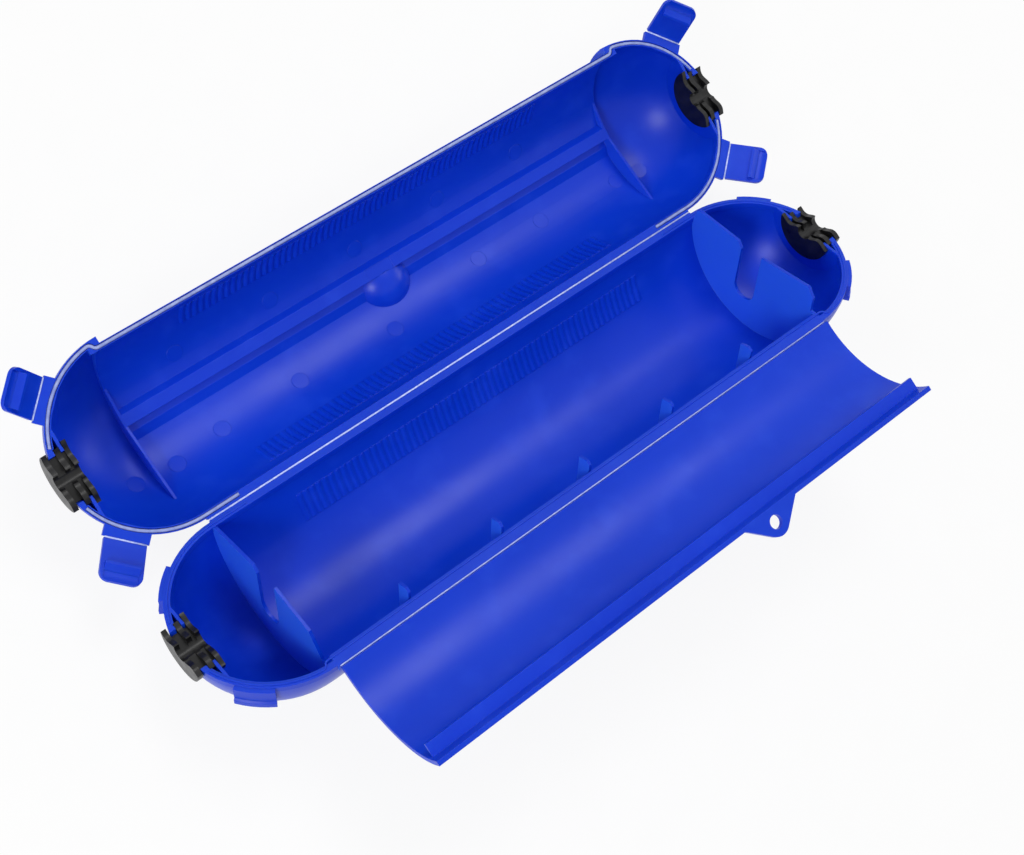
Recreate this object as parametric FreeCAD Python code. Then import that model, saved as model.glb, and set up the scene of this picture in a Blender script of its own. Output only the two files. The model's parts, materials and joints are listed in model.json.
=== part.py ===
"""Safety cover for a mated plug and socket on an extension cord.

A moulded capsule of soft blue plastic that opens along its long side. The base is a trough with
round ends, the lid is its mirror, and a second flap on the front wall folds over the closed lid.
Four latches on the lid's ends snap over catches on the base. Split rubber grommets seal the
cables where they leave. A soft cord in the lid's rim, pressed by a tongue on the base's rim,
seals the rest of the joint.

Every piece is drawn in the closed cover's frame: X along the cover, Y from the front to the rear,
Z up, the parting plane at Z = 0 and the cover's long axis through the origin. At the end each body
is turned open about its own hinge line, and the open cover is rolled until base and lid both
touch the ground.
"""

import FreeCAD
import Part
import math
import os

from FreeCAD import Vector

# Overall form of the shells
half_straight = 144.0
shell_radius = 45.0
hinge_outset = 1.0
wall = 2.4
parting_gap = 0.3
hinge_relief = 0.15
rim_height = 3.6
rim_land = 3.0
end_relief = 0.4
root = 0.3

# How far the bodies stand open
lid_open_deg = 140.5
flap_open_deg = 125.4
latch_open_deg = {"front_left": 43.0, "rear_left": 25.0, "front_right": 50.0, "rear_right": 35.0}

# Front flap and the recess in the lid that takes it
flap_wall = 2.2
flap_air = 1.65
front_wall = 2.2
front_rim_land = 2.8
lip_gap = 0.7
lip_end_y = -1.0
flange_front_y = -9.0
flange_wall = 1.9
flange_tip_share = 0.75
flange_depth = 6.45
flange_end_inset = 1.6
channel_clearance = 0.6
channel_floor_wall = 1.6
channel_front_wall = 1.3
channel_rear_wall = 2.8
channel_slope = 7.0
jog_wall = 1.8
jog_run = 5.5
mark_depth = 0.25
mark_span = (-9.4, 5.3)

# Hanging eyelet on the flap's free edge
eyelet_x = 39.0
eyelet_root_width = 30.6
eyelet_tip_radius = 6.6
eyelet_hole_radius = 3.2
eyelet_hole_height = 4.6
eyelet_thickness = 2.6

# Finger pocket in the lid's crown, behind the flap's lip
pocket_radius = 14.0
pocket_wall = 2.0
pocket_rise = 5.5

# Base ledge and guide fins along the front wall
ledge_thickness = 2.1
fin_end_margin = 42.4
fin_count = 5
fin_thickness = 1.4
fin_gap = 0.8
fin_depth = 6.6
fin_top_z = 4.6
fin_front_drop = 1.6
fin_peak_run = 1.9
fin_rear_drop = 1.8
fin_foot_z = -15.0
fin_foot_run = 6.0

# Bulkheads with a slot for the cable: the wings' outlines, measured inwards from the wall or
# outwards from the slot, with the height above the parting plane
bulkhead_thickness = 1.5
slot_center_y = 3.3
slot_half_width = 6.4
slot_floor_height = 16.6
slot_lead = 3.4
left_wing_rear_wall = ((0.4, -0.3), (1.8, 1.0))
left_wing_rear_slot = (2.7, 5.9)
left_wing_front_slot = (0.0, 7.1)
left_wing_front_wall = ((15.6, 2.7), (8.0, -10.0), (3.5, -13.0))
right_wing_rear_wall = ((0.4, -0.3), (1.4, 5.4), (3.0, 6.7))
right_wing_rear_slot = (2.7, 7.3)
right_wing_front_slot = (0.0, 7.8)
right_wing_front_wall = ((9.0, 13.2), (5.2, 8.2), (4.8, -0.3))

# Crescent ribs across the lid at the ends of its straight part
crescent_thickness = 1.3
crescent_rear_deg = 37.2
crescent_front_deg = 54.7

# Rows of ridges along the inner walls
ridge_pitch = 3.45
ridge_end_margin = 40.5
ridge_height = 0.9
ridge_low_deg = 18.0
ridge_high_deg = 37.0

# Round marks of the mould's ejector pins inside the lid: (x, degrees up from the rear rim)
pin_radius = 4.0
pin_proud = 0.25
pin_marks = (
    (-154.5, 61), (-133.8, 59), (-107.4, 63), (-63.6, 63), (-9.6, 59), (48.9, 70),
    (89.7, 70), (138.8, 66), (152.8, 63),
)
front_pin_marks = ((-109.5, 122), (-57.8, 120), (-8.4, 121), (41.9, 122), (92.1, 123))

# Rubber grommets and their seats
grommet_neck_radius = 10.7
grommet_flange_radius = 13.3
grommet_inner_radius = 15.0
grommet_seat_gap = 0.2
cable_radius = 3.6
inner_plate_inset = 6.3
inner_plate_thickness = 1.4
flange_inner_thickness = 2.1
flange_outer_thickness = 2.4
dome_neck_length = 3.4
neck_drop = 2.6
wave_height = 1.25
wave_length = 12.5
wave_gap = 0.3
wave_steps = 8

# Catches on the base and latches on the lid
latch_azimuth_deg = 45.0
latch_standoff = 2.8
latch_root_width = 20.3
latch_width = 18.6
latch_length = 19.4
latch_thickness = 2.0
latch_corner_radius = 4.2
latch_ridge_place = 11.5
latch_ridge_width = 3.6
latch_ridge_reach = 1.9
latch_ridge_span = 15.2
latch_dish_depth = 0.7
latch_dish_radius = 6.0
latch_dish_place = 16.9
catch_width = 17.7
catch_stand = 2.9
catch_gap = 0.5
catch_lip_height = 2.6
catch_lip_reach = 0.9
catch_top_z = -0.7

# Sealing cord in the lid's rim, and the tongue on the base's rim that presses it
seal_radius = 0.85
seal_side_gap = 0.15
seal_depth = 0.15
seal_rear_left_margin = 17.5
seal_rear_right_margin = 21.0
seal_step_radius = 2.2
seal_step_azimuth_deg = 8.0
seal_end_gap = 1.0
tongue_half_width = 0.4
tongue_top_z = 0.2

# Sizes that follow from the ones above
hinge_radius = shell_radius + hinge_outset
inner_radius = shell_radius - wall
hinge_edge = hinge_radius - hinge_relief
rim_inner = shell_radius - rim_land
flap_outer = hinge_radius - hinge_relief
flap_inner = flap_outer - flap_wall
recess_radius = flap_inner - flap_air
front_inner = recess_radius - front_wall
front_rim_inner = recess_radius - front_rim_land
recess_half = half_straight + end_relief
flap_half = half_straight - end_relief
step_y = lip_end_y + lip_gap
flange_tip_z = flap_inner - flange_depth
channel_floor_z = flange_tip_z - channel_clearance
channel_front_y = flange_front_y - channel_clearance
channel_rear_y = flange_front_y + flange_wall + channel_clearance
band_inner_z = channel_floor_z - channel_floor_wall
band_front_y = channel_front_y + channel_floor_wall - channel_front_wall
band_rear_y = channel_rear_y + channel_rear_wall
jog_z = recess_radius - jog_wall
fin_pitch = 2 * (half_straight - fin_end_margin) / (fin_count - 1)
ridge_count = round(2 * (half_straight - ridge_end_margin) / ridge_pitch)
slot_bottom_z = slot_floor_height - inner_radius
inner_plate_x = half_straight + inner_radius - inner_plate_inset
dome_neck_x = inner_plate_x + inner_plate_thickness + 2 * grommet_seat_gap + flange_outer_thickness
grommet_end_x = dome_neck_x + dome_neck_length + flange_outer_thickness
latch_axis_radius = shell_radius + hinge_outset + latch_standoff
catch_radius = shell_radius + catch_stand
far = 200.0

ORIGIN = Vector(0, 0, 0)
ALONG = Vector(1, 0, 0)
ACROSS = Vector(0, 1, 0)
UP = Vector(0, 0, 1)


def box(x0, x1, y0, y1, z0, z1):
    return Part.makeBox(x1 - x0, y1 - y0, z1 - z0, Vector(x0, y0, z0))


def tube_x(radius, x0, x1, y=0.0, z=0.0):
    return Part.makeCylinder(radius, x1 - x0, Vector(x0, y, z), ALONG)


def slab(x0, x1, outline):
    """A plate across the cover: an outline of (y, z) points, extruded from x0 to x1."""
    points = [Vector(x0, y, z) for y, z in outline]
    face = Part.Face(Part.makePolygon(points + [points[0]]))
    return face.extrude(Vector(x1 - x0, 0, 0))


def fuse(shapes):
    return shapes[0].multiFuse(shapes[1:]).removeSplitter()


def half_capsule(radius, side):
    """Half of a cylinder with round ends, turned about the long axis."""
    end = half_straight + radius
    slope = radius * math.sqrt(0.5)
    start = Vector(-end, 0, 0)
    left = Vector(-half_straight, radius, 0)
    right = Vector(half_straight, radius, 0)
    finish = Vector(end, 0, 0)
    edges = [
        Part.Arc(start, Vector(-half_straight - slope, slope, 0), left).toShape(),
        Part.LineSegment(left, right).toShape(),
        Part.Arc(right, Vector(half_straight + slope, slope, 0), finish).toShape(),
        Part.LineSegment(finish, start).toShape(),
    ]
    return Part.Face(Part.Wire(edges)).revolve(ORIGIN, ALONG, 180.0 * side)


def stadium(radius, z0, z1):
    """A flat plate with round ends, as seen from above."""
    left = -half_straight
    right = half_straight
    edges = [
        Part.LineSegment(Vector(left, radius, z0), Vector(right, radius, z0)).toShape(),
        Part.Arc(
            Vector(right, radius, z0), Vector(right + radius, 0, z0), Vector(right, -radius, z0)
        ).toShape(),
        Part.LineSegment(Vector(right, -radius, z0), Vector(left, -radius, z0)).toShape(),
        Part.Arc(
            Vector(left, -radius, z0), Vector(left - radius, 0, z0), Vector(left, radius, z0)
        ).toShape(),
    ]
    return Part.Face(Part.Wire(edges)).extrude(Vector(0, 0, z1 - z0))


def ring(outer, inner, z0, z1):
    return stadium(outer, z0, z1).cut(stadium(inner, z0, z1))


def cover_shell(side):
    """One plain shell: the thin half capsule, the band along its rim and the hinge's edge strips."""
    shell = half_capsule(shell_radius, side).cut(half_capsule(inner_radius, side))
    low = min(parting_gap * side, rim_height * side)
    high = max(parting_gap * side, rim_height * side)
    middle = parting_gap * side
    shell = shell.cut(box(-far * 2, far * 2, -far, far, min(0, middle), max(0, middle)))
    strips = box(-half_straight, half_straight, -hinge_edge, hinge_edge, low, high)
    strips = strips.cut(box(-far, far, -rim_inner, rim_inner, -far, far))
    return shell.fuse(ring(shell_radius, rim_inner, low, high)).fuse(strips)


def ridge_row(radius, side, rear):
    """A row of saw-tooth ridges on the inner wall, running along the cover."""
    foot = radius + root
    crest = radius - ridge_height
    length = ridge_pitch * ridge_count
    points = [Vector(-length / 2, foot, 0), Vector(-length / 2, radius, 0)]
    for number in range(ridge_count):
        x = -length / 2 + number * ridge_pitch
        points.append(Vector(x + ridge_pitch / 3, crest, 0))
        points.append(Vector(x + ridge_pitch / 2, crest, 0))
        points.append(Vector(x + ridge_pitch, radius, 0))
    points.append(Vector(length / 2, foot, 0))
    face = Part.Face(Part.makePolygon(points + [points[0]]))
    row = face.revolve(ORIGIN, ALONG, ridge_high_deg - ridge_low_deg)
    row.rotate(ORIGIN, ALONG, ridge_low_deg)
    if not rear:
        row = row.mirror(ORIGIN, ACROSS)
    if side < 0:
        row = row.mirror(ORIGIN, UP)
    return row


def grommet_discs(gap):
    """The grommet's three flanges as full discs at the right end, grown by a gap."""
    inner = tube_x(grommet_inner_radius + gap,
                   inner_plate_x - grommet_seat_gap - flange_inner_thickness - gap,
                   inner_plate_x - grommet_seat_gap + gap)
    middle_x = inner_plate_x + inner_plate_thickness + grommet_seat_gap
    middle = tube_x(grommet_flange_radius + gap, middle_x - gap, middle_x + flange_outer_thickness + gap)
    outer_x = middle_x + flange_outer_thickness + dome_neck_length + grommet_seat_gap
    outer = tube_x(grommet_flange_radius + gap, outer_x - gap, outer_x + flange_outer_thickness + gap)
    return [inner, middle, outer]


def grommet_seat(shell, side):
    """Adds the inner plate at each end, then cuts the round seat for the grommet."""
    for end in (-1, 1):
        near = inner_plate_x * end
        away = (inner_plate_x + inner_plate_thickness) * end
        plate = half_capsule(inner_radius + root, side)
        plate = plate.common(box(min(near, away), max(near, away), -far, far, -far, far))
        edge = parting_gap * side
        plate = plate.cut(box(-2 * far, 2 * far, -far, far, min(0, edge), max(0, edge)))
        shell = shell.fuse(plate)
    for end in (-1, 1):
        cutters = [tube_x(grommet_neck_radius + grommet_seat_gap,
                          inner_plate_x - inner_plate_inset, grommet_end_x + inner_plate_inset)]
        cutters += grommet_discs(grommet_seat_gap)
        for cutter in cutters:
            if end < 0:
                cutter = cutter.mirror(ORIGIN, ALONG)
            shell = shell.cut(cutter)
    return shell


def wave_cutter(x0, x1):
    """All that lies above the waved edge of a grommet's flange, between two places along X."""
    points = []
    for number in range(-wave_steps, wave_steps + 1):
        y = grommet_inner_radius * 1.1 * number / wave_steps
        z = wave_height * math.sin(2 * math.pi * y / wave_length) - wave_gap
        points.append(Vector(x0, y, z))
    edge = Part.BSplineCurve()
    edge.interpolate(points)
    top = grommet_inner_radius * 2
    corners = [points[-1], Vector(x0, points[-1].y, top), Vector(x0, points[0].y, top), points[0]]
    outline = Part.Wire([edge.toShape()] + Part.makePolygon(corners).Edges)
    return Part.Face(outline).extrude(Vector(x1 - x0, 0, 0))


def grommet(side, end):
    """One rubber half: three flanges with waved edges on a lower neck, and a notch for the cable."""
    start_x = inner_plate_x - grommet_seat_gap - flange_inner_thickness
    neck = tube_x(grommet_neck_radius, start_x, grommet_end_x)
    neck = neck.cut(box(0, far * 2, -far, far, -parting_gap - neck_drop, far))
    above = wave_cutter(start_x - root, grommet_end_x + flange_outer_thickness)
    flanges = [disc.cut(above) for disc in grommet_discs(0.0)]
    piece = fuse([neck] + flanges)
    piece = piece.cut(tube_x(cable_radius, start_x - root, grommet_end_x + flange_outer_thickness))
    if side > 0:
        piece.rotate(ORIGIN, ALONG, 180)
    if end < 0:
        piece = piece.mirror(ORIGIN, ALONG)
    return piece


def around_ends(shape):
    """Copies of a shape drawn at the dome's +X side, turned to the four latch places."""
    places = {}
    for end_name, end in (("left", -1), ("right", 1)):
        for side_name, lateral in (("front", -1), ("rear", 1)):
            turn = latch_azimuth_deg * lateral
            if end < 0:
                turn = 180 - turn
            copy = shape.copy()
            copy.rotate(ORIGIN, UP, turn)
            copy.translate(Vector(half_straight * end, 0, 0))
            places[side_name + "_" + end_name] = copy
    return places


def catch():
    """A curved lug round the dome, below the base's rim, with a lip that the latch's ridge snaps under."""
    bottom = -latch_ridge_place + catch_gap
    foot = math.sqrt(inner_radius ** 2 - bottom ** 2) + root
    outline = [
        Vector(foot, 0, catch_top_z),
        Vector(catch_radius - catch_lip_reach, 0, catch_top_z),
        Vector(catch_radius - catch_lip_reach, 0, bottom + catch_lip_height + catch_lip_reach),
        Vector(catch_radius, 0, bottom + catch_lip_height),
        Vector(catch_radius, 0, bottom),
        Vector(foot, 0, bottom),
    ]
    turn = math.degrees(catch_width / catch_radius)
    lug = Part.Face(Part.makePolygon(outline + [outline[0]])).revolve(ORIGIN, UP, turn)
    lug.rotate(ORIGIN, UP, -turn / 2)
    return lug.cut(Part.makeSphere(inner_radius + root))


def wing_outline(side, wall_points, slot_point):
    """One wing's upper edge from the wall to the slot: side is +1 for the rear, -1 for the front."""
    points = [(side * (rim_inner - inwards), height) for inwards, height in wall_points]
    outwards, height = slot_point
    points.append((slot_center_y + side * (slot_half_width + outwards), height))
    return points


def bulkhead(x, rear, front):
    """Two wings across the trough with a round-bottomed slot between them."""
    left = x - bulkhead_thickness / 2
    right = x + bulkhead_thickness / 2
    low = -shell_radius
    slot_front = slot_center_y - slot_half_width
    slot_rear = slot_center_y + slot_half_width
    slot_axis_z = slot_bottom_z + slot_half_width
    outline = list(rear)
    outline += [(slot_rear, rear[-1][1] - slot_lead), (slot_rear, slot_axis_z)]
    outline += [(slot_front, slot_axis_z)]
    outline += list(reversed(front))
    outline += [(-shell_radius, front[0][1]), (-shell_radius, low), (shell_radius, low)]
    outline += [(shell_radius, rear[0][1])]
    plate = slab(left, right, outline)
    plate = plate.cut(tube_x(slot_half_width, left, right, slot_center_y, slot_axis_z))
    above = box(left, right, -shell_radius, shell_radius, -parting_gap, far)
    inside = tube_x(inner_radius + root, left, right).cut(above)
    wings = plate.common(above)
    return plate.common(inside).fuse(wings)


def guide_fins():
    """Pointed fins under the ledge that steer the lid's front rim as it closes."""
    fins = []
    front_y = -front_rim_inner + fin_gap
    rear_y = front_y + fin_depth
    outline = [
        (-rim_inner, -ledge_thickness),
        (front_y, -ledge_thickness),
        (front_y, fin_top_z - fin_front_drop),
        (front_y + fin_peak_run, fin_top_z),
        (rear_y, fin_top_z - fin_rear_drop),
        (rear_y, fin_foot_z),
        (rear_y - fin_foot_run, -far),
        (-far, -far),
        (-far, -ledge_thickness),
    ]
    for number in range(fin_count):
        x = (number - (fin_count - 1) / 2) * fin_pitch
        left = x - fin_thickness / 2
        right = x + fin_thickness / 2
        over = box(left, right, front_y, rear_y, -rim_height, far)
        fins.append(slab(left, right, outline).common(tube_x(inner_radius + root, left, right).fuse(over)))
    return fins


def base_shell(routes):
    shell = cover_shell(-1)
    ledge = box(-half_straight, half_straight, -hinge_edge, -front_rim_inner,
                -parting_gap - ledge_thickness, -parting_gap)
    parts = [shell, ledge]
    for route in routes.values():
        foot = -parting_gap - root
        parts.append(sweep(route, [(-tongue_half_width, foot), (tongue_half_width, foot),
                                   (tongue_half_width, tongue_top_z), (-tongue_half_width, tongue_top_z)]))
    parts += guide_fins()
    left_rear = wing_outline(1, left_wing_rear_wall, left_wing_rear_slot)
    left_front = wing_outline(-1, reversed(left_wing_front_wall), left_wing_front_slot)
    right_rear = wing_outline(1, right_wing_rear_wall, right_wing_rear_slot)
    right_front = wing_outline(-1, reversed(right_wing_front_wall), right_wing_front_slot)
    parts.append(bulkhead(-half_straight, left_rear, left_front))
    parts.append(bulkhead(half_straight, right_rear, right_front))
    parts += around_ends(catch()).values()
    parts.append(ridge_row(inner_radius, -1, True))
    parts.append(ridge_row(inner_radius, -1, False))
    return grommet_seat(fuse(parts), -1)


def front_sector(radius, half_length, y_limit):
    """The part of a cylinder in front of a plane, above the parting plane."""
    return tube_x(radius, -half_length, half_length).common(
        box(-half_length, half_length, -far, y_limit, parting_gap, far))


def seal_route():
    """The three open routes of the sealing cord in the rim, as lists of edges at z = 0."""
    dome = (shell_radius + rim_inner) / 2
    straight = recess_radius - front_rim_land / 2
    stop = math.asin((grommet_flange_radius + seal_end_gap) / dome)

    def on_dome(end, angle):
        return Vector(end * (half_straight + dome * math.cos(angle)), dome * math.sin(angle), 0)

    def dome_arc(end, angle0, angle1):
        middle = (angle0 + angle1) / 2
        return Part.Arc(on_dome(end, angle0), on_dome(end, middle), on_dome(end, angle1)).toShape()

    quarter = math.pi / 2
    rear_left_x = seal_rear_left_margin - half_straight
    rear_right_x = half_straight - seal_rear_right_margin
    left = [
        Part.LineSegment(Vector(rear_left_x, dome, 0), Vector(-half_straight, dome, 0)).toShape(),
        dome_arc(-1, quarter, stop),
    ]
    right = [
        Part.LineSegment(Vector(rear_right_x, dome, 0), Vector(half_straight, dome, 0)).toShape(),
        dome_arc(1, quarter, stop),
    ]
    leave = math.radians(seal_step_azimuth_deg)
    small = seal_step_radius
    rise = straight + small - (dome - small) * math.cos(leave)
    run = math.sqrt(4 * small ** 2 - rise ** 2)

    def s_step(end):
        """Two small tangent arcs from the dome's line to the recessed front line."""
        reach = dome - small
        first = Vector(end * (half_straight + reach * math.sin(leave)), -reach * math.cos(leave), 0)
        second = Vector(first.x - end * run, -straight - small, 0)
        outer = on_dome(end, leave - quarter)
        middle = (first + second) * 0.5
        inner = Vector(second.x, -straight, 0)

        def bend(centre, start, finish):
            bulge = (start + finish) * 0.5 - centre
            return Part.Arc(start, centre + bulge * (small / bulge.Length), finish).toShape()

        return [bend(first, outer, middle), bend(second, middle, inner)], inner

    left_step, left_foot = s_step(-1)
    right_step, right_foot = s_step(1)
    front = [dome_arc(-1, -stop, leave - quarter)]
    front += left_step
    front.append(Part.LineSegment(left_foot, right_foot).toShape())
    front += reversed(right_step)
    front.append(dome_arc(1, leave - quarter, -stop))
    return {"left": left, "front": front, "right": right}


def sweep(edges, outline):
    """Sweeps an outline of (across, z) points, or a circle, along a flat route."""
    spine = Part.Wire(Part.__sortEdges__(edges))
    first = spine.OrderedEdges[0]
    start = first.valueAt(first.FirstParameter)
    along = first.tangentAt(first.FirstParameter)
    if spine.OrderedVertexes[0].Point.distanceToPoint(start) > 0.01:
        start = first.valueAt(first.LastParameter)
        along = first.tangentAt(first.LastParameter).negative()
    across = Vector(-along.y, along.x, 0)
    if outline is None:
        centre = start + UP * (parting_gap + seal_depth + seal_radius)
        profile = Part.Wire(Part.makeCircle(seal_radius, centre, along))
    else:
        points = [start + across * s + UP * z for s, z in outline]
        profile = Part.makePolygon(points + [points[0]])
    return spine.makePipeShell([profile], True, True)


def seal_groove(edges):
    half = seal_radius + seal_side_gap
    top = parting_gap + seal_depth + 2 * seal_radius + seal_side_gap
    return sweep(edges, [(-half, 0), (half, 0), (half, top), (-half, top)])


def lid_channel():
    """The gutter along the crown that takes the flap's flange, and the jog behind it where the
    recessed front steps out to the crown: the solid body, and the gutter's hollow."""
    top = shell_radius + wall
    body = slab(-recess_half, recess_half, [
        (band_rear_y, top),
        (band_rear_y, band_inner_z),
        (band_front_y, band_inner_z),
        (band_front_y - channel_slope, band_inner_z + channel_slope),
        (band_front_y - channel_slope, top),
    ])
    jog = slab(-recess_half, recess_half, [
        (band_rear_y - root, top),
        (band_rear_y - root, jog_z),
        (step_y, jog_z),
        (step_y + jog_run, inner_radius + root),
        (step_y + jog_run, top),
    ])
    body = body.common(tube_x(recess_radius, -recess_half, recess_half))
    jog = jog.common(half_capsule(shell_radius, 1))
    hollow = slab(-flap_half, flap_half, [
        (channel_rear_y, top),
        (channel_rear_y, channel_floor_z),
        (channel_front_y, channel_floor_z),
        (channel_front_y - channel_slope, channel_floor_z + channel_slope),
        (channel_front_y - channel_slope, top),
    ])
    mark_floor_z = band_inner_z + mark_depth
    mark = box(mark_span[0], mark_span[1], band_front_y, band_rear_y, band_inner_z, mark_floor_z)
    return [body, jog], [hollow, mark]


def crescents():
    """Ribs across the lid at both ends of the recess."""
    plates = []
    rear = math.radians(crescent_rear_deg)
    front = math.radians(crescent_front_deg)
    reach = inner_radius + root
    top = shell_radius + wall
    for end in (-1, 1):
        near = recess_half * end
        away = (recess_half + crescent_thickness) * end
        outline = [
            (reach * math.cos(rear), reach * math.sin(rear)),
            (band_rear_y, band_inner_z),
            (band_front_y, band_inner_z),
            (-front_inner * math.cos(front), front_inner * math.sin(front)),
            (-reach * math.cos(front), reach * math.sin(front)),
            (-reach * math.cos(front), top),
            (reach * math.cos(rear), top),
        ]
        plate = slab(min(near, away), max(near, away), outline)
        plates.append(plate.common(half_capsule(reach, 1)))
    return plates


def pin_mark(radius, x, degrees):
    """A round flat on the inner wall where an ejector pin has pushed."""
    angle = math.radians(degrees)
    over = math.copysign(max(0.0, abs(x) - half_straight), x)
    sideways = over / radius
    inwards = math.sqrt(1 - sideways ** 2)
    way = Vector(sideways, math.cos(angle) * inwards, math.sin(angle) * inwards)
    foot = Vector(x - over, 0, 0) + way * (radius - pin_proud)
    return Part.makeCylinder(pin_radius, pin_proud + root, foot, way)


def lid_shell(routes):
    shell = cover_shell(1)
    thick_half = recess_half + crescent_thickness
    lining = front_sector(inner_radius + root, thick_half, band_front_y)
    lining = lining.cut(tube_x(front_inner, -thick_half, thick_half))
    bar_half = thick_half + 2 * seal_step_radius
    rim_bar = box(-bar_half, bar_half, -inner_radius, -front_rim_inner, parting_gap, rim_height)
    bodies, hollows = lid_channel()
    pocket_center = Vector(0, step_y, shell_radius + pocket_rise)
    bump = Part.makeSphere(pocket_radius + pocket_wall, pocket_center)
    bump = bump.common(box(-far, far, band_rear_y - root, far, 0, far))
    bump = bump.common(tube_x(shell_radius, -far, far))
    parts = [shell, lining, rim_bar, bump] + bodies + crescents()
    parts += around_ends(latch_root()).values()
    parts.append(ridge_row(inner_radius, 1, True))
    parts.append(ridge_row(front_inner, 1, False))
    parts += [pin_mark(inner_radius, x, degrees) for x, degrees in pin_marks]
    parts += [pin_mark(front_inner, x, degrees) for x, degrees in front_pin_marks]
    lid = fuse(parts)
    recess = box(-recess_half, recess_half, -far, step_y, -far, far).cut(
        tube_x(recess_radius, -recess_half, recess_half))
    pocket = Part.makeSphere(pocket_radius, pocket_center)
    pocket = pocket.common(box(-far, far, step_y, far, 0, far))
    for hollow in [recess, pocket] + hollows:
        lid = lid.cut(hollow)
    lid = grommet_seat(lid, 1)
    for route in routes.values():
        lid = lid.cut(seal_groove(route))
    return lid


def latch_root():
    """The short tongue on the lid's rim that carries a latch."""
    half = latch_root_width / 2
    reach = latch_axis_radius - hinge_relief
    foot = math.sqrt(inner_radius ** 2 - half ** 2) + root
    return box(foot, reach, -half, half, parting_gap, parting_gap + latch_thickness)


def latch():
    """One latch, straight out from the lid's rim: a dished tab with its snap ridge on the lower face."""
    start = latch_axis_radius + hinge_relief
    end = latch_axis_radius + latch_length
    half = latch_width / 2
    top = parting_gap + latch_thickness
    tab = box(start, end, -half, half, parting_gap, top)
    corners = []
    for edge in tab.Edges:
        centre = edge.BoundBox.Center
        upright = edge.BoundBox.ZLength > latch_thickness / 2
        if upright and centre.x > (start + end) / 2:
            corners.append(edge)
    tab = tab.makeFillet(latch_corner_radius, corners)
    dish_x = latch_axis_radius + latch_dish_place
    dish_z = parting_gap + latch_dish_depth - latch_dish_radius
    dish_start = Vector(dish_x, -latch_ridge_span / 2, dish_z)
    dish = Part.makeCylinder(latch_dish_radius, latch_ridge_span, dish_start, ACROSS)
    foot = latch_axis_radius + latch_ridge_place
    low = -latch_ridge_reach
    crest = foot + latch_ridge_width / 3
    outline = [
        Vector(foot, 0, parting_gap + root),
        Vector(foot, 0, low),
        Vector(crest, 0, low),
        Vector(foot + latch_ridge_width, 0, parting_gap + root),
    ]
    ridge = Part.Face(Part.makePolygon(outline + [outline[0]])).extrude(Vector(0, latch_ridge_span, 0))
    ridge.translate(Vector(0, -latch_ridge_span / 2, 0))
    return fuse([tab.cut(dish), ridge])


def front_flap():
    """The gutter-shaped flap over the lid's front, with its flange and hanging eyelet."""
    gutter = tube_x(flap_outer, -flap_half, flap_half).cut(tube_x(flap_inner, -flap_half, flap_half))
    gutter = gutter.common(box(-far, far, -far, lip_end_y, parting_gap, far))
    inset = flap_half - flange_end_inset
    flange = slab(-inset, inset, [
        (flange_front_y, flap_inner),
        (flange_front_y, flange_tip_z),
        (flange_front_y + flange_wall * flange_tip_share, flange_tip_z),
        (flange_front_y + flange_wall, flap_inner),
    ])
    crown = math.sqrt(flap_outer ** 2 - lip_end_y ** 2)
    hole_z = crown + eyelet_hole_height
    half = eyelet_root_width / 2
    tilt = math.atan2(hole_z - crown, half) + math.asin(eyelet_tip_radius / math.hypot(half, hole_z - crown))
    touch_x = eyelet_tip_radius * math.sin(tilt)
    touch_z = hole_z + eyelet_tip_radius * math.cos(tilt)
    back = lip_end_y - eyelet_thickness
    low = crown - flap_wall / 2
    edges = [
        Part.LineSegment(Vector(eyelet_x - half, back, low), Vector(eyelet_x + half, back, low)),
        Part.LineSegment(Vector(eyelet_x + half, back, low), Vector(eyelet_x + half, back, crown)),
        Part.LineSegment(Vector(eyelet_x + half, back, crown), Vector(eyelet_x + touch_x, back, touch_z)),
        Part.Arc(Vector(eyelet_x + touch_x, back, touch_z),
                 Vector(eyelet_x, back, hole_z + eyelet_tip_radius),
                 Vector(eyelet_x - touch_x, back, touch_z)),
        Part.LineSegment(Vector(eyelet_x - touch_x, back, touch_z), Vector(eyelet_x - half, back, crown)),
        Part.LineSegment(Vector(eyelet_x - half, back, crown), Vector(eyelet_x - half, back, low)),
    ]
    tab = Part.Face(Part.Wire([edge.toShape() for edge in edges])).extrude(Vector(0, eyelet_thickness, 0))
    hole_start = Vector(eyelet_x, back, hole_z)
    hole = Part.makeCylinder(eyelet_hole_radius, eyelet_thickness, hole_start, ACROSS)
    return fuse([gutter, flange, tab]).cut(hole)


def open_lid(shape):
    shape.rotate(Vector(0, hinge_radius, 0), ALONG, -lid_open_deg)
    return shape


def open_flap(shape):
    shape.rotate(Vector(0, -hinge_radius, 0), ALONG, flap_open_deg)
    return shape


def bent_latches():
    """The four latches, each bent at its own hinge by the angle at which it stands."""
    straight = latch()
    pieces = {}
    for place, angle in latch_open_deg.items():
        bent = straight.copy()
        bent.rotate(Vector(latch_axis_radius, 0, 0), ACROSS, angle)
        pieces[place] = around_ends(bent)[place]
    return pieces


def build():
    """Every node by its name, still unrolled, with the bodies turned open."""
    routes = seal_route()
    nodes = {"base_shell": base_shell(routes)}
    nodes["grommet_base_left"] = grommet(-1, -1)
    nodes["grommet_base_right"] = grommet(-1, 1)
    nodes["lid_shell"] = open_lid(lid_shell(routes))
    nodes["grommet_lid_left"] = open_lid(grommet(1, -1))
    nodes["grommet_lid_right"] = open_lid(grommet(1, 1))
    for name, route in routes.items():
        nodes["lid_seal_" + name] = open_lid(sweep(route, None))
    for place, piece in bent_latches().items():
        nodes["latch_" + place] = open_lid(piece)
    nodes["front_flap"] = open_flap(front_flap())
    return nodes


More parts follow.
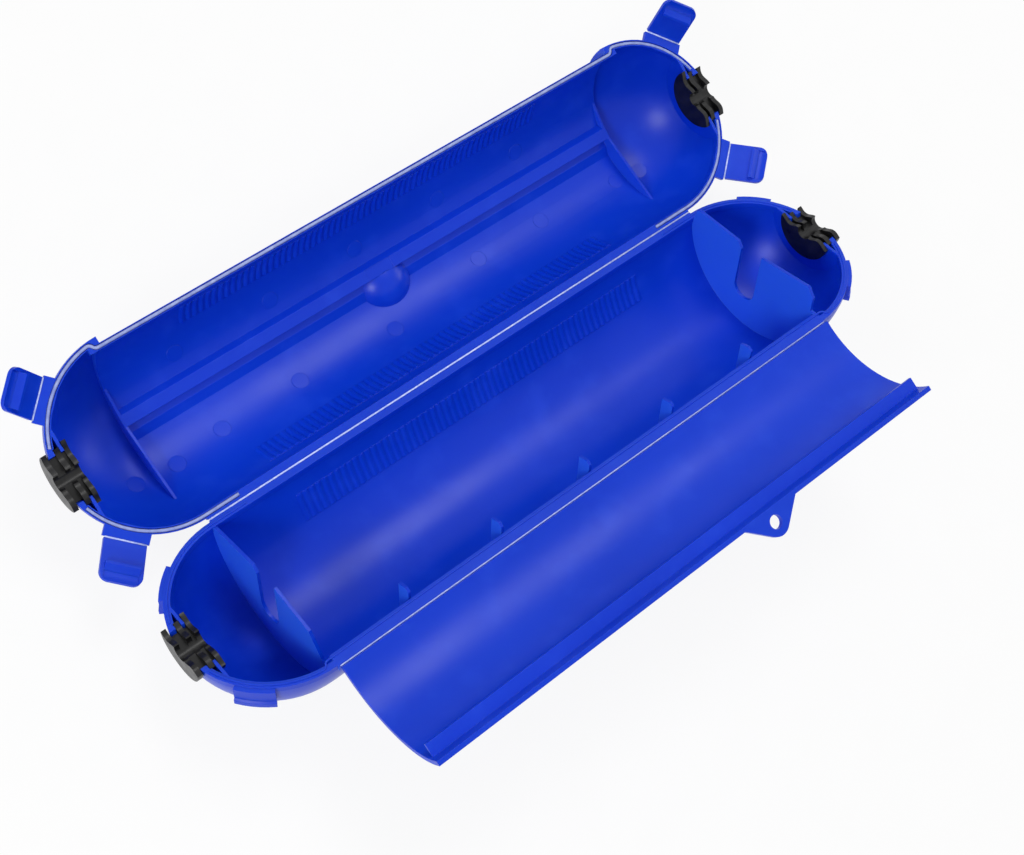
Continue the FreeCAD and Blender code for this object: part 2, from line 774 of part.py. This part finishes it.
def roll_to_rest(nodes):
    """Rolls the open cover so that base and lid both touch the ground, and centres it."""
    roll = (180 - lid_open_deg) / 2
    for piece in nodes.values():
        piece.rotate(ORIGIN, ALONG, -roll)
    whole = Part.makeCompound(list(nodes.values())).optimalBoundingBox(False, False)
    shift = Vector(-whole.Center.x, -whole.Center.y, shell_radius)
    for piece in nodes.values():
        piece.translate(shift)
    return shift


nodes = build()
rest_shift = roll_to_rest(nodes)
os.makedirs("parts", exist_ok=True)
for name, piece in nodes.items():
    piece.exportStep(os.path.join("parts", name + ".step"))
    print(name, "solids", len(piece.Solids), "valid", piece.isValid(), "volume", round(piece.Volume, 1))
print("rest shift", rest_shift)
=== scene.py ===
"""Looks of the open cord cover: its camera, plastics, rubbers, living hinges, floor and lights."""

import json
import math

import bmesh
import bpy
from mathutils import Matrix, Vector


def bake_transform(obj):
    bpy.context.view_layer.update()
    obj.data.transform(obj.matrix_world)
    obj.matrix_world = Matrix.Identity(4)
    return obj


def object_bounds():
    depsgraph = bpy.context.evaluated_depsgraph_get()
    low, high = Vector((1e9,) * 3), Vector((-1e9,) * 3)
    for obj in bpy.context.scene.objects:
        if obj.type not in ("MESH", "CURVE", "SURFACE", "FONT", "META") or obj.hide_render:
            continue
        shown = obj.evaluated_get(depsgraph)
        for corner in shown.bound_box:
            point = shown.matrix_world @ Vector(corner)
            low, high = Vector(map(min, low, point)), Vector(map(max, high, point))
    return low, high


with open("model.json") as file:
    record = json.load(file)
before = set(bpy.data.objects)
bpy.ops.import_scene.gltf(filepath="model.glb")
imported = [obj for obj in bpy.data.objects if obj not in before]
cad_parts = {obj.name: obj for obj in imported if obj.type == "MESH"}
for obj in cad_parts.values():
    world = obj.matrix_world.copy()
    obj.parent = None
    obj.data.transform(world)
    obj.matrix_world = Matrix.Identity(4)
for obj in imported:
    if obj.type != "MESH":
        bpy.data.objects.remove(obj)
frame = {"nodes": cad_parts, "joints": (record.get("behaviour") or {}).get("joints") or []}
cad_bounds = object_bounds()
joints = {joint["name"]: joint for joint in frame["joints"]}
MM = 0.001

# How far the bodies stand open at rest, from the joints' own limits
LID_OPEN = joints["lid_hinge"]["range_deg"][1]
FLAP_OPEN = joints["flap_hinge"]["range_deg"][1]
COVER_ROLL = (180.0 - LID_OPEN) / 2
LID_HINGE = Vector(joints["lid_hinge"]["pos_m"])
FLAP_HINGE = Vector(joints["flap_hinge"]["pos_m"])

# The photograph's camera, in the frame of the base's rim plane: its focal length in the photograph's
# pixels, its angles in degrees, and its place in metres from the middle between the two long hinges
PHOTO_WIDTH = 1024.0
FOCAL_PIXELS = 1674.0
SENSOR_MM = 36.0
CAMERA_AZIMUTH = -43.08
CAMERA_ELEVATION = 53.31
CAMERA_TILT = 2.86
CAMERA_PLACE = (-0.31778, -0.32664, 0.60168)
CLIP_START = 0.01

# Sizes of the thin webs that join the bodies. Each side of a web has points at these shares of its
# reach from the hinge's axis; the bend's share gives the two ends of its bend, which are worked out but not
# used.
WEB_REACH = 0.34 * MM
WEB_DROP = 0.03 * MM
WEB_THICKNESS = 0.12 * MM
WEB_SHARES = (1.0, 0.55, 0.12)
WEB_BEND_SHARE = 0.4
LID_WEB_HALF = 143.6 * MM
FLAP_WEB_HALF = 143.4 * MM
LATCH_WEB_HALF = 9.2 * MM

# How far edges are rounded to the light. The rim's paler band, painted light for light that shines through
# the thin rim, from where it is palest to where it ends. How far from the middle the thin ribs reach, and
# how squarely a rib faces along the cover, for the ribs' painted light.
EDGE_ROUND = 0.35 * MM
# The rim's band of painted light: where it starts and ends, and how pale it gets.
RIM_GLOW_BAND = (0.35 * MM, 1.6 * MM)
RIM_PAINTED_GLOW = 0.18
RIB_REACH = 150.0 * MM
RIB_FACING = (0.985, 0.999)
# How much painted light, standing in for light shining through the thin ribs, the base's and the lid's ribs
# get.
BASE_RIB_PAINTED_GLOW = 0.8
LID_RIB_PAINTED_GLOW = 0.35

# Colours
BLUE = (0.003, 0.048, 0.64)
BLUE_DEEP = (0.001, 0.038, 0.56)
BLUE_PALE = (0.018, 0.085, 0.74)
# Painted light: the paler blue of thin ribs lit through from behind.
BLUE_LIT_THROUGH = (0.030, 0.150, 0.88)
WEB_BLUE = (0.36, 0.46, 0.95)
WEB_PALE = (0.66, 0.72, 1.0)
RUBBER_BLACK = (0.004, 0.004, 0.0045)
RUBBER_WORN = (0.012, 0.012, 0.013)
# The seal's grey with a painted blue tint, standing in for light bounced from the blue plastic around it.
SEAL_GREY_AND_BOUNCE = (0.24, 0.30, 0.62)
SEAL_PALE_AND_BOUNCE = (0.38, 0.45, 0.76)
FLOOR_GREY = (0.84, 0.84, 0.84)
FLOOR_PALE = (0.88, 0.88, 0.88)

# Noise scales, in features to the metre
FLOW_SCALE = 9.0
SHEEN_SCALE = 24.0
PAPER_SCALE = 40.0
WAVE_SCALE = 55.0
FLECK_SCALE = 60.0
RUBBER_CLOUD_SCALE = 180.0
SEAL_CLOUD_SCALE = 300.0
SPECK_SCALE = 700.0
SEAL_GRAIN_SCALE = 1800.0
SHELL_GRAIN_SCALE = 2600.0
RUBBER_GRAIN_SCALE = 3500.0

# Gloss: roughness, as a pair from the glossiest to the dullest spots or as one value, specular level
# and the shell's index of refraction
SHELL_ROUGHNESS = (0.28, 0.38)
RUBBER_ROUGHNESS = (0.26, 0.38)
WEB_ROUGHNESS = 0.3
SEAL_ROUGHNESS = 0.45
SHELL_SPECULAR = 0.22
RUBBER_SPECULAR = 0.32
SHELL_IOR = 1.5

# Bumps, as a strength and a depth
SHELL_GRAIN = (0.10, 0.08 * MM)
SHELL_WAVES = (0.10, 0.8 * MM)
RUBBER_GRAIN = (0.2, 0.1 * MM)
SOFT_GRAIN = (0.15, 0.1 * MM)

# Light inside the plastic and the seal: how much, how far, and how far for each colour
SHELL_GLOW = (0.3, 3.0 * MM, (0.15, 0.35, 1.0))
SEAL_GLOW = (0.1, 1.0 * MM, (0.6, 0.7, 1.0))

# The studio: the floor's size and how far it lies below the cover, how much of the floor is white to
# the eye, the world's light, and the lamps' names, directions from the cover, distances, sizes and powers
FLOOR_SIZE = 12.0
FLOOR_DROP = 0.4 * MM
FLOOR_GLOW = 0.88
WORLD_LIGHT = 0.45
LAMPS = (
    ("key_lamp", (0.27, 0.28, 0.92), 1.5, 0.65, 7.5),
    ("left_lamp", (-0.8, -0.2, 0.6), 1.5, 0.5, 9.5),
    ("right_lamp", (0.94, -0.2, 0.31), 1.4, 0.6, 2.5),
)


def turned(vector, degrees):
    """A vector turned about the long axis."""
    return Matrix.Rotation(math.radians(degrees), 3, "X") @ Vector(vector)


def base_way(vector):
    """A direction of the base's own frame, as it lies at rest."""
    return turned(vector, -COVER_ROLL)


def lid_way(vector):
    """The same for the lid."""
    return base_way(turned(vector, -LID_OPEN))


def flap_way(vector):
    """The same for the flap."""
    return base_way(turned(vector, FLAP_OPEN))


def photo_camera():
    """The camera that took the photograph."""
    azimuth = math.radians(CAMERA_AZIMUTH)
    elevation = math.radians(CAMERA_ELEVATION)
    tilt = math.radians(CAMERA_TILT)
    back = Vector((math.sin(azimuth) * math.cos(elevation),
                   -math.cos(azimuth) * math.cos(elevation),
                   math.sin(elevation)))
    level = Vector((math.cos(azimuth), math.sin(azimuth), 0))
    above = back.cross(level)
    right = math.cos(tilt) * level + math.sin(tilt) * above
    up = -math.sin(tilt) * level + math.cos(tilt) * above
    axes = Matrix((base_way(right), base_way(up), base_way(back))).transposed()
    data = bpy.data.cameras.new("photo_camera")
    data.sensor_width = SENSOR_MM
    data.lens = FOCAL_PIXELS / PHOTO_WIDTH * SENSOR_MM
    data.clip_start = CLIP_START
    camera = bpy.data.objects.new("photo_camera", data)
    place = (LID_HINGE + FLAP_HINGE) / 2 + base_way(CAMERA_PLACE)
    camera.matrix_world = Matrix.Translation(place) @ axes.to_4x4()
    bpy.context.scene.collection.objects.link(camera)
    bpy.context.scene.camera = camera


class Nodes:
    """A short way to write the node tree of a material, or of the world."""

    def __init__(self, owner):
        self.owner = owner
        owner.use_nodes = True
        self.tree = owner.node_tree
        self.tree.nodes.clear()

    def add(self, kind, settings=None, **inputs):
        """A new node, with its settings and the values or links of its inputs."""
        node = self.tree.nodes.new(kind)
        for key, value in (settings or {}).items():
            setattr(node, key, value)
        for key, value in inputs.items():
            self.feed(node, key.replace("_", " "), value)
        return node

    def feed(self, node, key, value):
        """Links an output to an input, or sets the input. The key is its name or number."""
        socket = node.inputs[int(key)] if key.isdigit() else node.inputs[key]
        if isinstance(value, bpy.types.NodeSocket):
            self.tree.links.new(value, socket)
        elif isinstance(value, tuple) and len(value) == 3 and socket.type == "RGBA":
            socket.default_value = value + (1.0,)
        else:
            socket.default_value = value

    def place(self):
        """The point on the object, in metres."""
        return self.add("ShaderNodeTexCoord").outputs["Object"]

    def noise(self, scale, detail=2.0):
        """Soft random clouds, from 0 to 1."""
        return self.add("ShaderNodeTexNoise", Scale=scale, Detail=detail, Vector=self.place()).outputs["Fac"]

    def spread(self, value, low, high, to_low=0.0, to_high=1.0):
        """Maps the stretch from low to high onto another one, and stops at its ends."""
        node = self.add("ShaderNodeMapRange", {"clamp": True})
        self.feed(node, "Value", value)
        for key, number in (("From Min", low), ("From Max", high), ("To Min", to_low), ("To Max", to_high)):
            node.inputs[key].default_value = number
        return node.outputs["Result"]

    def blend(self, factor, first, second):
        """A colour between two colours."""
        node = self.add("ShaderNodeMix", {"data_type": "RGBA"})
        self.feed(node, "0", factor)
        self.feed(node, "6", first)
        self.feed(node, "7", second)
        return node.outputs[2]

    def count(self, operation, first, second=0.0):
        """Arithmetic on one or two values."""
        node = self.add("ShaderNodeMath", {"operation": operation})
        self.feed(node, "0", first)
        self.feed(node, "1", second)
        return node.outputs[0]

    def seen(self):
        """1 where the surface is seen, straight or through a reflection, and 0 where it only gives light."""
        path = self.add("ShaderNodeLightPath")
        mirrored = self.count("MAXIMUM", path.outputs["Is Glossy Ray"], path.outputs["Is Transmission Ray"])
        return self.count("MAXIMUM", path.outputs["Is Camera Ray"], mirrored)

    def along_x(self, vector):
        """A vector's size along the cover's long axis."""
        node = self.add("ShaderNodeSeparateXYZ", Vector=vector)
        return self.count("ABSOLUTE", node.outputs["X"])

    def bump(self, height, strength, distance, normal=None):
        """A bent normal: a height from 0 to 1, worth a distance in metres."""
        node = self.add("ShaderNodeBump", Strength=strength, Distance=distance)
        self.feed(node, "Height", height)
        if normal is not None:
            self.feed(node, "Normal", normal)
        return node.outputs["Normal"]

    def finish(self, shader, kind="ShaderNodeOutputMaterial"):
        """Links the shader to the output, and returns the material or the world."""
        self.add(kind, Surface=shader.outputs[0])
        return self.owner


def material_nodes(name):
    """The node tree of a new material."""
    return Nodes(bpy.data.materials.new(name))


def glow_inside(shader, glow):
    """Lets light spread under the surface."""
    shader.inputs["Subsurface Weight"].default_value = glow[0]
    shader.inputs["Subsurface Scale"].default_value = glow[1]
    shader.inputs["Subsurface Radius"].default_value = glow[2]


def plane_distance(nodes, point, normal):
    """How far the surface is from a plane, in metres."""
    gap = nodes.add("ShaderNodeVectorMath", {"operation": "SUBTRACT"})
    nodes.feed(gap, "0", nodes.place())
    gap.inputs[1].default_value = point
    along = nodes.add("ShaderNodeVectorMath", {"operation": "DOT_PRODUCT"})
    nodes.feed(along, "0", gap.outputs[0])
    along.inputs[1].default_value = normal
    return nodes.count("ABSOLUTE", along.outputs["Value"])


def shell_plastic(name, rim_point=None, rim_normal=None, thin=0.0):
    """Glossy blue polypropylene: flow clouds, fine mould grain, and painted light on the rim and the thin
    ribs:
    a paler blue that stands in for light shining through the thin plastic."""
    nodes = material_nodes(name)
    clouds = nodes.noise(FLOW_SCALE, 3.0)
    color = nodes.blend(nodes.spread(clouds, 0.35, 0.70), BLUE_DEEP, BLUE)
    flecks = nodes.noise(FLECK_SCALE, 4.0)
    color = nodes.blend(nodes.spread(flecks, 0.52, 0.75, 0.0, 0.3), color, BLUE_PALE)
    if rim_point is not None:
        # Painted light: a paler band along the rim, standing in for light shining through the thin rim.
        distance = plane_distance(nodes, rim_point, rim_normal)
        rim_glow = nodes.spread(distance, RIM_GLOW_BAND[0], RIM_GLOW_BAND[1], RIM_PAINTED_GLOW, 0.0)
        color = nodes.blend(rim_glow, color, BLUE_PALE)
    if thin:
        # Painted light: ribs that face along the cover turn paler, standing in for light shining through
        # them.
        facing = nodes.along_x(nodes.add("ShaderNodeTexCoord").outputs["Normal"])
        ribs = nodes.spread(facing, RIB_FACING[0], RIB_FACING[1], 0.0, thin)
        inside = nodes.spread(nodes.along_x(nodes.place()), RIB_REACH, RIB_REACH + MM, 1.0, 0.0)
        color = nodes.blend(nodes.count("MULTIPLY", ribs, inside), color, BLUE_LIT_THROUGH)
    edges = nodes.add("ShaderNodeBevel", {"samples": 4}, Radius=EDGE_ROUND)
    normal = nodes.bump(nodes.noise(SHELL_GRAIN_SCALE), *SHELL_GRAIN, edges.outputs["Normal"])
    normal = nodes.bump(nodes.noise(WAVE_SCALE), *SHELL_WAVES, normal)
    rough = nodes.spread(nodes.noise(SHEEN_SCALE, 3.0), 0.3, 0.7, *SHELL_ROUGHNESS)
    shader = nodes.add("ShaderNodeBsdfPrincipled", IOR=SHELL_IOR)
    shader.inputs["Specular IOR Level"].default_value = SHELL_SPECULAR
    glow_inside(shader, SHELL_GLOW)
    nodes.feed(shader, "Base Color", color)
    nodes.feed(shader, "Roughness", rough)
    nodes.feed(shader, "Normal", normal)
    return nodes.finish(shader)


def web_plastic():
    """The thin web of a living hinge, whitened by flexing, in fine specks."""
    nodes = material_nodes("living_hinge_plastic")
    specks = nodes.noise(SPECK_SCALE, 3.0)
    color = nodes.blend(nodes.spread(specks, 0.35, 0.7), WEB_BLUE, WEB_PALE)
    shader = nodes.add("ShaderNodeBsdfPrincipled", Roughness=WEB_ROUGHNESS)
    nodes.feed(shader, "Base Color", color)
    nodes.feed(shader, "Normal", nodes.bump(specks, *SOFT_GRAIN))
    return nodes.finish(shader)


def grommet_rubber():
    """Glossy black rubber with a fine grain."""
    nodes = material_nodes("grommet_rubber")
    clouds = nodes.noise(RUBBER_CLOUD_SCALE, 4.0)
    color = nodes.blend(nodes.spread(clouds, 0.4, 0.7), RUBBER_BLACK, RUBBER_WORN)
    grain = nodes.noise(RUBBER_GRAIN_SCALE, 3.0)
    rough = nodes.spread(clouds, 0.3, 0.7, *RUBBER_ROUGHNESS)
    shader = nodes.add("ShaderNodeBsdfPrincipled")
    shader.inputs["Specular IOR Level"].default_value = RUBBER_SPECULAR
    nodes.feed(shader, "Base Color", color)
    nodes.feed(shader, "Roughness", rough)
    nodes.feed(shader, "Normal", nodes.bump(grain, *RUBBER_GRAIN))
    return nodes.finish(shader)


def seal_rubber():
    """The soft pale seal cord. Its grey holds a painted blue tint, which stands in for light bounced onto it
    from the blue plastic around it.
    """
    nodes = material_nodes("seal_rubber")
    clouds = nodes.noise(SEAL_CLOUD_SCALE, 3.0)
    # Painted light: the seal's colours hold blue light bounced from the plastic around it.
    color = nodes.blend(nodes.spread(clouds, 0.35, 0.7), SEAL_GREY_AND_BOUNCE, SEAL_PALE_AND_BOUNCE)
    shader = nodes.add("ShaderNodeBsdfPrincipled", Roughness=SEAL_ROUGHNESS)
    glow_inside(shader, SEAL_GLOW)
    nodes.feed(shader, "Base Color", color)
    nodes.feed(shader, "Normal", nodes.bump(nodes.noise(SEAL_GRAIN_SCALE), *SOFT_GRAIN))
    return nodes.finish(shader)


def dress(node, material):
    """Puts one material on a CAD node."""
    slots = frame["nodes"][node].data.materials
    slots.clear()
    slots.append(material)


def strip(name, material, across, centre, along, half_length):
    """A thin closed strip: a profile of points across the hinge, drawn out along it."""
    mesh = bmesh.new()
    rings = []
    for side in (-1, 1):
        rings.append([mesh.verts.new(centre + along * side * half_length + point) for point in across])
    count = len(across)
    for number in range(count):
        following = (number + 1) % count
        mesh.faces.new((rings[0][number], rings[0][following], rings[1][following], rings[1][number]))
    mesh.faces.new(rings[0])
    mesh.faces.new(reversed(rings[1]))
    bmesh.ops.recalc_face_normals(mesh, faces=mesh.faces)
    data = bpy.data.meshes.new(name)
    mesh.to_mesh(data)
    mesh.free()
    for polygon in data.polygons:
        polygon.use_smooth = True
    piece = bpy.data.objects.new(name, data)
    data.materials.append(material)
    bpy.context.scene.collection.objects.link(piece)
    return piece


def web(name, joint, first_way, second_way, outward, half_length, material):
    """A living hinge's web, between two bodies whose directions at the hinge come from way().
    outward is +1 or -1 for each body: the sign along its lip in which the web runs from the hinge."""
    centre = Vector(joints[joint]["pos_m"])
    along = Vector(joints[joint]["axis"])
    line = []
    for share in WEB_SHARES:
        line.append((first_way(outward[0]) * share * WEB_REACH, first_way(None)))
    line.append((Vector((0, 0, 0)), (first_way(None) + second_way(None)).normalized()))
    for share in reversed(WEB_SHARES):
        line.append((second_way(outward[1]) * share * WEB_REACH, second_way(None)))
    upper = [point - facing * WEB_DROP for point, facing in line]
    lower = [point - facing * (WEB_DROP + WEB_THICKNESS) for point, facing in line]
    piece = strip(name, material, upper + lower[::-1], centre, along, half_length)
    bend = WEB_BEND_SHARE * WEB_REACH
    start = centre + first_way(outward[0]) * bend - first_way(None) * WEB_DROP
    end = centre + second_way(outward[1]) * bend - second_way(None) * WEB_DROP
    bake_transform(piece)


def bent_way(joint):
    """Turns a direction of the lid on round a latch's hinge, to where the latch lies at rest."""
    fold = Matrix.Rotation(math.radians(-joint["range_deg"][0]), 3, Vector(joint["axis"]))
    return lambda vector: fold @ lid_way(vector)


def way(turn, lip, facing):
    """A body's two directions at a hinge: along its lip where it is given a sign, and the way the
    lip faces where it is given None."""
    def pick(sign):
        return turn(facing) if sign is None else turn(lip) * sign
    return pick


def living_hinges(material):
    """The webs of the lid, the flap and the four latches."""
    across = (0, 1, 0)
    base_side = way(base_way, across, (0, 0, 1))
    web("lid_hinge_web", "lid_hinge", base_side, way(lid_way, across, (0, 0, -1)), (-1, -1),
        LID_WEB_HALF, material)
    web("flap_hinge_web", "flap_hinge", base_side, way(flap_way, across, (0, 0, -1)), (1, 1),
        FLAP_WEB_HALF, material)
    for joint in joints.values():
        if not joint["name"].startswith("latch_hinge_"):
            continue
        place = joint["name"].replace("latch_hinge_", "")
        side = -1 if place.endswith("left") else 1
        lateral = 1 if place.startswith("rear") else -1
        outwards = (side * math.sqrt(0.5), lateral * math.sqrt(0.5), 0)
        lid_side = way(lid_way, outwards, (0, 0, -1))
        latch_side = way(bent_way(joint), outwards, (0, 0, -1))
        web("latch_web_" + place, joint["name"], lid_side, latch_side, (-1, 1), LATCH_WEB_HALF, material)


def dress_nodes():
    """Gives every CAD node its material."""
    # The last argument is how much painted light the thin ribs get.
    base = shell_plastic("base_plastic", LID_HINGE, base_way((0, 0, 1)), BASE_RIB_PAINTED_GLOW)
    lid = shell_plastic("lid_plastic", LID_HINGE, lid_way((0, 0, 1)), LID_RIB_PAINTED_GLOW)
    flap = shell_plastic("flap_plastic")
    rubber = grommet_rubber()
    seal = seal_rubber()
    for name in frame["nodes"]:
        if name == "base_shell":
            dress(name, base)
        elif name == "lid_shell" or name.startswith("latch"):
            dress(name, lid)
        elif name == "front_flap":
            dress(name, flap)
        elif name.startswith("grommet"):
            dress(name, rubber)
        else:
            dress(name, seal)


def paper_floor():
    """A pale seamless floor, which keeps a faint shadow."""
    bpy.ops.mesh.primitive_plane_add(size=FLOOR_SIZE, location=(0, 0, -FLOOR_DROP))
    floor = bpy.context.object
    floor.name = "studio_floor"
    nodes = material_nodes("studio_floor")
    color = nodes.blend(nodes.spread(nodes.noise(PAPER_SCALE, 3.0), 0.3, 0.7), FLOOR_GREY, FLOOR_PALE)
    plain = nodes.add("ShaderNodeBsdfDiffuse", Color=color)
    glow = nodes.add("ShaderNodeEmission", Strength=1.0)
    mix = nodes.add("ShaderNodeMixShader")
    nodes.feed(mix, "0", nodes.count("MULTIPLY", nodes.seen(), FLOOR_GLOW))
    nodes.feed(mix, "1", plain.outputs[0])
    nodes.feed(mix, "2", glow.outputs[0])
    floor.data.materials.append(nodes.finish(mix))


def white_world():
    """An even world that is white where it is seen."""
    sky = Nodes(bpy.data.worlds.new("studio_world"))
    level = sky.spread(sky.seen(), 0.0, 1.0, WORLD_LIGHT, 1.0)
    light = sky.add("ShaderNodeBackground", Color=(1.0, 1.0, 1.0), Strength=level)
    bpy.context.scene.world = sky.finish(light, "ShaderNodeOutputWorld")


def soft_lamps():
    """Square lamps that all point at the middle of the cover."""
    target = (cad_bounds[0] + cad_bounds[1]) / 2
    for name, way_to, distance, size, power in LAMPS:
        data = bpy.data.lights.new(name, "AREA")
        data.shape = "SQUARE"
        data.size = size
        data.energy = power
        lamp = bpy.data.objects.new(name, data)
        lamp.location = target + Vector(way_to).normalized() * distance
        lamp.rotation_euler = (target - lamp.location).to_track_quat("-Z", "Y").to_euler()
        bpy.context.scene.collection.objects.link(lamp)


photo_camera()
dress_nodes()
living_hinges(web_plastic())
paper_floor()
white_world()
soft_lamps()
bpy.context.scene.view_settings.view_transform = "Standard"
